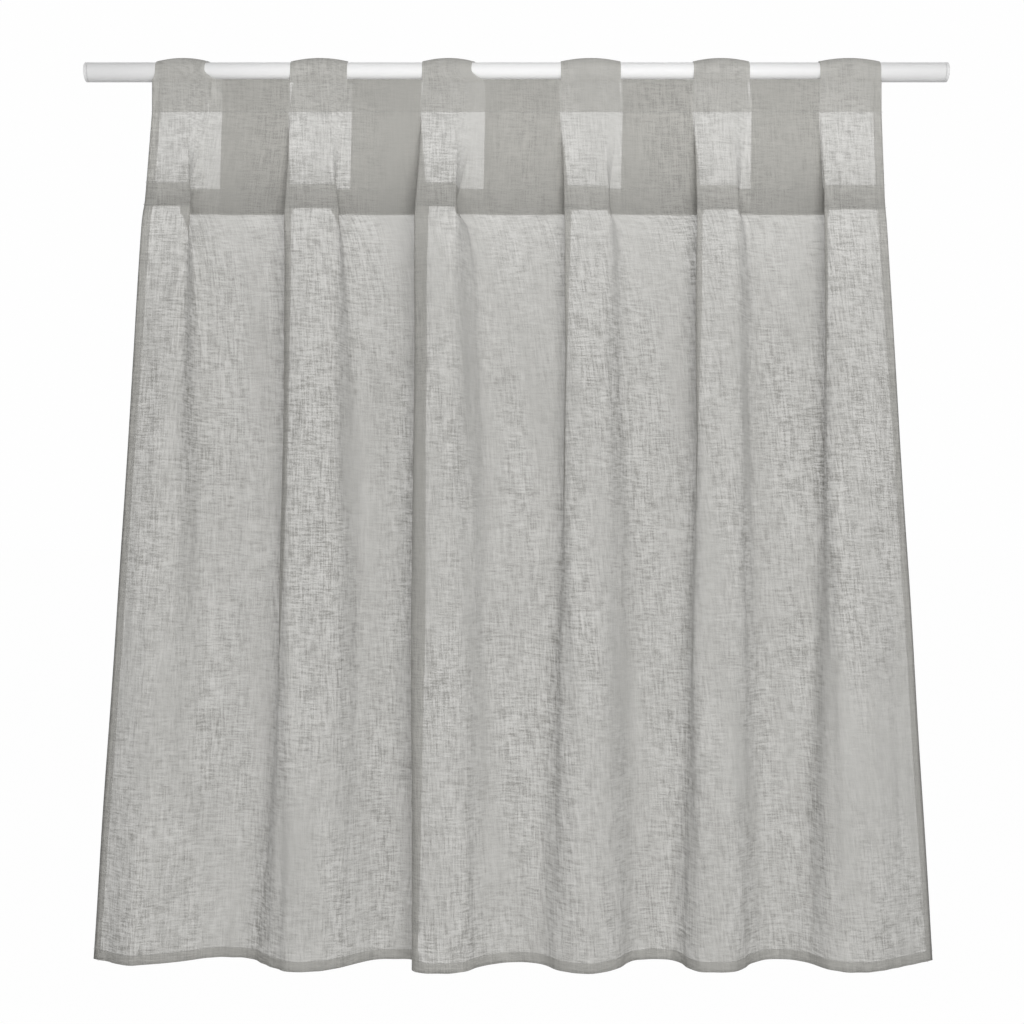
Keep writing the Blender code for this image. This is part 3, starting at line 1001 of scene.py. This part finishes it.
class CURTAIN_OT_facings(bpy.types.Operator):
    """Build the double facings behind the heading, between the tabs"""

    bl_idname = "curtain.facings"
    bl_label = "Facings"

    def execute(self, context):
        settings = context.scene.curtain
        cloth, levels, rows, walks = surface_of(settings)
        _, look = cloth_looks(settings)
        near = CLOTH / 2 + GAP + FACING / 2
        far = BEHIND_HEM + CLOTH / 2 + GAP + FACING / 2
        chosen = between_levels(levels, TOP_EDGE, HEADING)
        behind = ramp(levels, TOP_HEM, TAPE_TOP - TAPE_ROOM - TOP_HEM)
        for tab in range(TABS - 1):
            first = cloth.facings[tab]
            last = cloth.places[first_of(ridge_start(tab + 1) - 1)]
            layers = []
            for half in (-FACING_SHARE, FACING_SHARE):
                lines = []
                for r in chosen:
                    back = between(near, far, behind[r]) + half * FACING
                    lines.append(rows[r][first : last + 1] + np.array([0.0, back]))
                layers.append(grid_of(np.array(lines), levels[chosen]))
            flat = flat_of(walks[chosen, first : last + 1] + FACING_WEAVE + tab, levels[chosen])
            sheet = Sheet()
            front = sheet.add(layers[0], flat)
            back = sheet.add(layers[1], flat * np.array([-1.0, 1.0]))
            sheet.fill(front)
            sheet.fill(back[:, ::-1])
            for side, turn in ((0, -1), (-1, 1)):
                sheet.fill(np.stack([front[:, side], back[:, side]], axis=1)[:, ::turn])
                sheet.fill(np.stack([front[side], back[side]], axis=0)[::turn])
            facing = sheet.make(f"facing_{tab + 1}_cloth", look)
            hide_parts(f"facing_{tab + 1}")
            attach(facing, "root")
        return {"FINISHED"}


def stitch_tree():
    """Geometry Nodes: stitches along a guide's edges, turned to follow it."""
    tree = bpy.data.node_groups.new("Stitch row", "GeometryNodeTree")
    face = tree.interface
    face.new_socket("Geometry", in_out="INPUT", socket_type="NodeSocketGeometry")
    for name in ("Pitch", "Stitch length", "Thread radius"):
        face.new_socket(name, in_out="INPUT", socket_type="NodeSocketFloat")
    face.new_socket("Thread", in_out="INPUT", socket_type="NodeSocketMaterial")
    face.new_socket("Geometry", in_out="OUTPUT", socket_type="NodeSocketGeometry")
    given = new_node(tree, "NodeGroupInput").outputs
    curve = new_node(tree, "GeometryNodeMeshToCurve", {"Mesh": given["Geometry"]})
    inputs = {"Curve": curve.outputs["Curve"], "Length": given["Pitch"]}
    even = new_node(tree, "GeometryNodeResampleCurve", inputs, mode="LENGTH")
    ahead = new_node(tree, "GeometryNodeInputTangent").outputs["Tangent"]
    turn = new_node(tree, "FunctionNodeAlignRotationToVector", {"Vector": ahead}, axis="Z")
    inputs = {"Segments": STITCH_SIDES, "Rings": STITCH_RINGS, "Radius": 1.0}
    capsule = new_node(tree, "GeometryNodeMeshUVSphere", inputs)
    radius = given["Thread radius"]
    half = maths(tree, "MULTIPLY", given["Stitch length"], 0.5)
    size = new_node(tree, "ShaderNodeCombineXYZ", {"X": radius, "Y": radius, "Z": half})
    inputs = {
        "Points": even.outputs["Curve"],
        "Instance": capsule.outputs["Mesh"],
        "Rotation": turn.outputs["Rotation"],
        "Scale": size.outputs["Vector"],
    }
    placed = new_node(tree, "GeometryNodeInstanceOnPoints", inputs).outputs["Instances"]
    real = new_node(tree, "GeometryNodeRealizeInstances", {"Geometry": placed})
    inputs = {"Geometry": real.outputs["Geometry"]}
    smooth = new_node(tree, "GeometryNodeSetShadeSmooth", inputs)
    inputs = {"Geometry": smooth.outputs["Geometry"], "Material": given["Thread"]}
    finish = new_node(tree, "GeometryNodeSetMaterial", inputs)
    new_node(tree, "NodeGroupOutput", {"Geometry": finish.outputs["Geometry"]})
    return tree


def thread_material(colour):
    """Matt sewing thread with a fine twist."""
    made, tree, shader = new_material("Sewing thread")
    twist = spread(tree, piece_noise(tree, 1400.0), 0.90, 1.10)
    tint = multiplied(tree, (*colour, 1.0), twist)
    feed(tree, shader, {"Base Color": tint, "Roughness": 0.7})
    return made


def stitch_object(name, lines, settings, thread):
    """Stitches along lines of points, as one plain mesh."""
    points, edges = [], []
    for line in lines:
        start = len(points)
        points.extend(line.tolist())
        edges.extend((start + k, start + k + 1) for k in range(len(line) - 1))
    guide = bpy.data.meshes.new(name + "_guide")
    guide.from_pydata(points, edges, [])
    holder = bpy.data.objects.new(name + "_guide", guide)
    bpy.context.scene.collection.objects.link(holder)
    tree = bpy.data.node_groups.get("Stitch row") or stitch_tree()
    modifier = holder.modifiers.new("Stitches", "NODES")
    modifier.node_group = tree
    values = {
        "Pitch": settings.stitch_pitch,
        "Stitch length": settings.stitch_length,
        "Thread radius": settings.thread_radius,
        "Thread": thread,
    }
    for item in tree.interface.items_tree:
        if item.in_out == "INPUT" and item.name in values:
            modifier[item.identifier] = values[item.name]
    graph = bpy.context.evaluated_depsgraph_get()
    mesh = bpy.data.meshes.new_from_object(holder.evaluated_get(graph))
    mesh.name = name
    bpy.data.objects.remove(holder, do_unlink=True)
    made = bpy.data.objects.new(name, mesh)
    bpy.context.scene.collection.objects.link(made)
    return made


class CURTAIN_OT_stitches(bpy.types.Operator):
    """Sew the top hem, the tape and the turned hems"""

    bl_idname = "curtain.stitches"
    bl_label = "Stitches"

    def execute(self, context):
        settings = context.scene.curtain
        _, levels, rows, _ = surface_of(settings)
        thread = thread_material(THREAD_COLOUR)
        proud = -(settings.thread_radius * THREAD_PROUD)

        def across(down):
            return raised(moved_back(rows[np.argmin(abs(levels - down))], proud), down)

        def downwards(side):
            line = []
            for row, down in zip(rows, levels):
                walked = along(row)
                at = SIDE_STITCH if side < 0 else walked[-1] - SIDE_STITCH
                line.append([*at_walk(moved_back(row, proud), walked, [at])[0], -down])
            return np.array(line)

        runs = {
            "stitches_top_hem": [across(TOP_HEM)],
            "stitches_tape": [across(TAPE_TOP), across(TAPE_STITCH)],
            "stitches_hems": [across(DROP - BOTTOM_HEM), downwards(-1), downwards(1)],
        }
        for name, lines in runs.items():
            made = stitch_object(name, lines, settings, thread)
            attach(made, "root")
        return {"FINISHED"}


def rod_material():
    """Gloss white paint with a faint orange-peel, its white painted darker towards the rod's ends
    as painted shade.
    """
    made, tree, shader = new_material("Gloss white paint")
    place = new_node(tree, "ShaderNodeTexCoord").outputs["Object"]
    along_rod = new_node(tree, "ShaderNodeSeparateXYZ", {"Vector": place}).outputs["X"]
    out = maths(tree, "ABSOLUTE", along_rod)
    peel = piece_noise(tree, 380.0)
    inputs = {"Strength": 0.05, "Distance": 0.0001, "Height": peel}
    bump = new_node(tree, "ShaderNodeBump", inputs)
    inputs = {
        # painted shade: the base colour darkens towards the rod's ends
        "Base Color": spread(tree, out, *ROD_PAINTED_WHITES, *ROD_SHADE_SPAN),
        "Roughness": spread(tree, peel, 0.30, 0.42),
        "Specular IOR Level": 0.12,
        "Normal": bump.outputs["Normal"],
    }
    feed(tree, shader, inputs)
    return made


def plug_material():
    """Satin white plastic with a fine moulded grain."""
    made, tree, shader = new_material("Satin white plastic")
    rough = spread(tree, piece_noise(tree, 2500.0), 0.36, 0.52)
    inputs = {"Base Color": PLUG_WHITE, "Roughness": rough, "Specular IOR Level": 0.12}
    feed(tree, shader, inputs)
    return made


class CURTAIN_OT_rod(bpy.types.Operator):
    """Give the rod and its plugs their finishes"""

    bl_idname = "curtain.rod"
    bl_label = "Rod"

    def execute(self, context):
        looks = {"rod": rod_material()}
        plug = plug_material()
        looks["rod_cap_left"] = plug
        looks["rod_cap_right"] = plug
        for node, look in looks.items():
            part = bpy.data.objects[node]
            for slot in part.material_slots:
                slot.material = look
        return {"FINISHED"}


def white_to_camera(tree, lit, white, strength):
    """A mix that shows plain white to the camera, to gloss and through glass."""
    rays = new_node(tree, "ShaderNodeLightPath").outputs
    seen = maths(tree, "MAXIMUM", rays["Is Camera Ray"], rays["Is Glossy Ray"])
    seen = maths(tree, "MAXIMUM", seen, rays["Is Transmission Ray"])
    share = maths(tree, "MULTIPLY", seen, strength)
    inputs = {"Fac": share, 1: lit, 2: white}
    return new_node(tree, "ShaderNodeMixShader", inputs).outputs[0]


def set_camera(scene):
    """A level camera in front of the cloth, as in the photograph."""
    camera = bpy.data.cameras.new("camera")
    camera.sensor_width = SENSOR
    camera.lens = SENSOR / 2 * abs(CAMERA_PLACE[1]) / HALF_VIEW
    camera.clip_start = 0.05
    eye = bpy.data.objects.new("camera", camera)
    eye.location = CAMERA_PLACE
    eye.rotation_euler = (math.pi / 2, 0, 0)
    scene.collection.objects.link(eye)
    scene.camera = eye


def set_surround(scene, studio):
    """Even light all round, which the camera sees as plain white."""
    world = bpy.data.worlds.new("surround")
    world.use_nodes = True
    tree = world.node_tree
    around = new_node(tree, "ShaderNodeTexCoord").outputs["Generated"]
    upright = new_node(tree, "ShaderNodeSeparateXYZ", {"Vector": around}).outputs["Z"]
    level = spread(tree, upright, studio.fill_low, studio.fill_high, *FILL_TURNS)
    lit = tree.nodes["Background"]
    feed(tree, lit, {"Color": (1.0, 1.0, 1.0, 1.0), "Strength": level})
    white = new_node(tree, "ShaderNodeBackground", {"Color": SURROUND_WHITE})
    seen = white_to_camera(tree, lit.outputs[0], white.outputs[0], 1.0)
    feed(tree, tree.nodes["World Output"], {"Surface": seen})
    scene.world = world


def set_lamps(scene, studio):
    """Two soft round lamps in front, each turned to its target."""
    for name, power, (size, place, target) in (
        ("key", studio.key_power, KEY_LAMP),
        ("low", studio.low_power, LOW_LAMP),
    ):
        light = bpy.data.lights.new(name, "AREA")
        light.shape = "DISK"
        light.size = size
        light.energy = power
        lamp = bpy.data.objects.new(name, light)
        lamp.location = place
        aim = Vector(target) - lamp.location
        lamp.rotation_euler = aim.to_track_quat("-Z", "Y").to_euler()
        scene.collection.objects.link(lamp)


def lay_floor(scene, studio):
    """A wide pale floor, which the camera sees as nearly the surround's white."""
    mesh = bpy.data.meshes.new("floor")
    turns = ((-1, -1), (1, -1), (1, 1), (-1, 1))
    corners = [(FLOOR_HALF * x, FLOOR_HALF * y, -studio.floor_depth) for x, y in turns]
    mesh.from_pydata(corners, [], [(0, 1, 2, 3)])
    floor = bpy.data.objects.new("floor", mesh)
    scene.collection.objects.link(floor)
    look, tree, plain = new_material("Pale floor")
    feed(tree, plain, {"Base Color": (0.90, 0.90, 0.90, 1.0), "Roughness": 0.9})
    glow = new_node(tree, "ShaderNodeEmission", {"Color": (1.0, 1.0, 1.0, 1.0)})
    seen = white_to_camera(tree, plain.outputs[0], glow.outputs[0], FLOOR_WHITE)
    feed(tree, tree.nodes["Material Output"], {"Surface": seen})
    mesh.materials.append(look)


class CURTAIN_OT_stage(bpy.types.Operator):
    """Set up the camera, the lights, the floor and the white surround"""

    bl_idname = "curtain.stage"
    bl_label = "Stage"

    def execute(self, context):
        scene = context.scene
        set_camera(scene)
        set_surround(scene, scene.studio)
        set_lamps(scene, scene.studio)
        lay_floor(scene, scene.studio)
        scene.view_settings.view_transform = "Standard"
        return {"FINISHED"}


STEPS = (
    CURTAIN_OT_stage,
    CURTAIN_OT_panel,
    CURTAIN_OT_tape,
    CURTAIN_OT_facings,
    CURTAIN_OT_stitches,
    CURTAIN_OT_rod,
)


class CURTAIN_PT_sidebar(bpy.types.Panel):
    bl_label = "Tab-top curtain"
    bl_idname = "CURTAIN_PT_sidebar"
    bl_space_type = "VIEW_3D"
    bl_region_type = "UI"
    bl_category = "Curtain"

    def draw(self, context):
        layout = self.layout
        for group in (context.scene.curtain, context.scene.studio):
            for name in group.bl_rna.properties.keys():
                if name not in ("rna_type", "name"):
                    layout.prop(group, name)
        for step in STEPS:
            layout.operator(step.bl_idname)


CLASSES = (CurtainSettings, StudioSettings, *STEPS, CURTAIN_PT_sidebar)


def register():
    for each in CLASSES:
        bpy.utils.register_class(each)
    bpy.types.Scene.curtain = PointerProperty(type=CurtainSettings)
    bpy.types.Scene.studio = PointerProperty(type=StudioSettings)


def unregister():
    del bpy.types.Scene.studio
    del bpy.types.Scene.curtain
    for each in reversed(CLASSES):
        bpy.utils.unregister_class(each)


def main():
    register()
    bpy.ops.curtain.stage()
    bpy.ops.curtain.panel()
    bpy.ops.curtain.tape()
    bpy.ops.curtain.facings()
    bpy.ops.curtain.stitches()
    bpy.ops.curtain.rod()


if __name__ == "__main__":
    main()
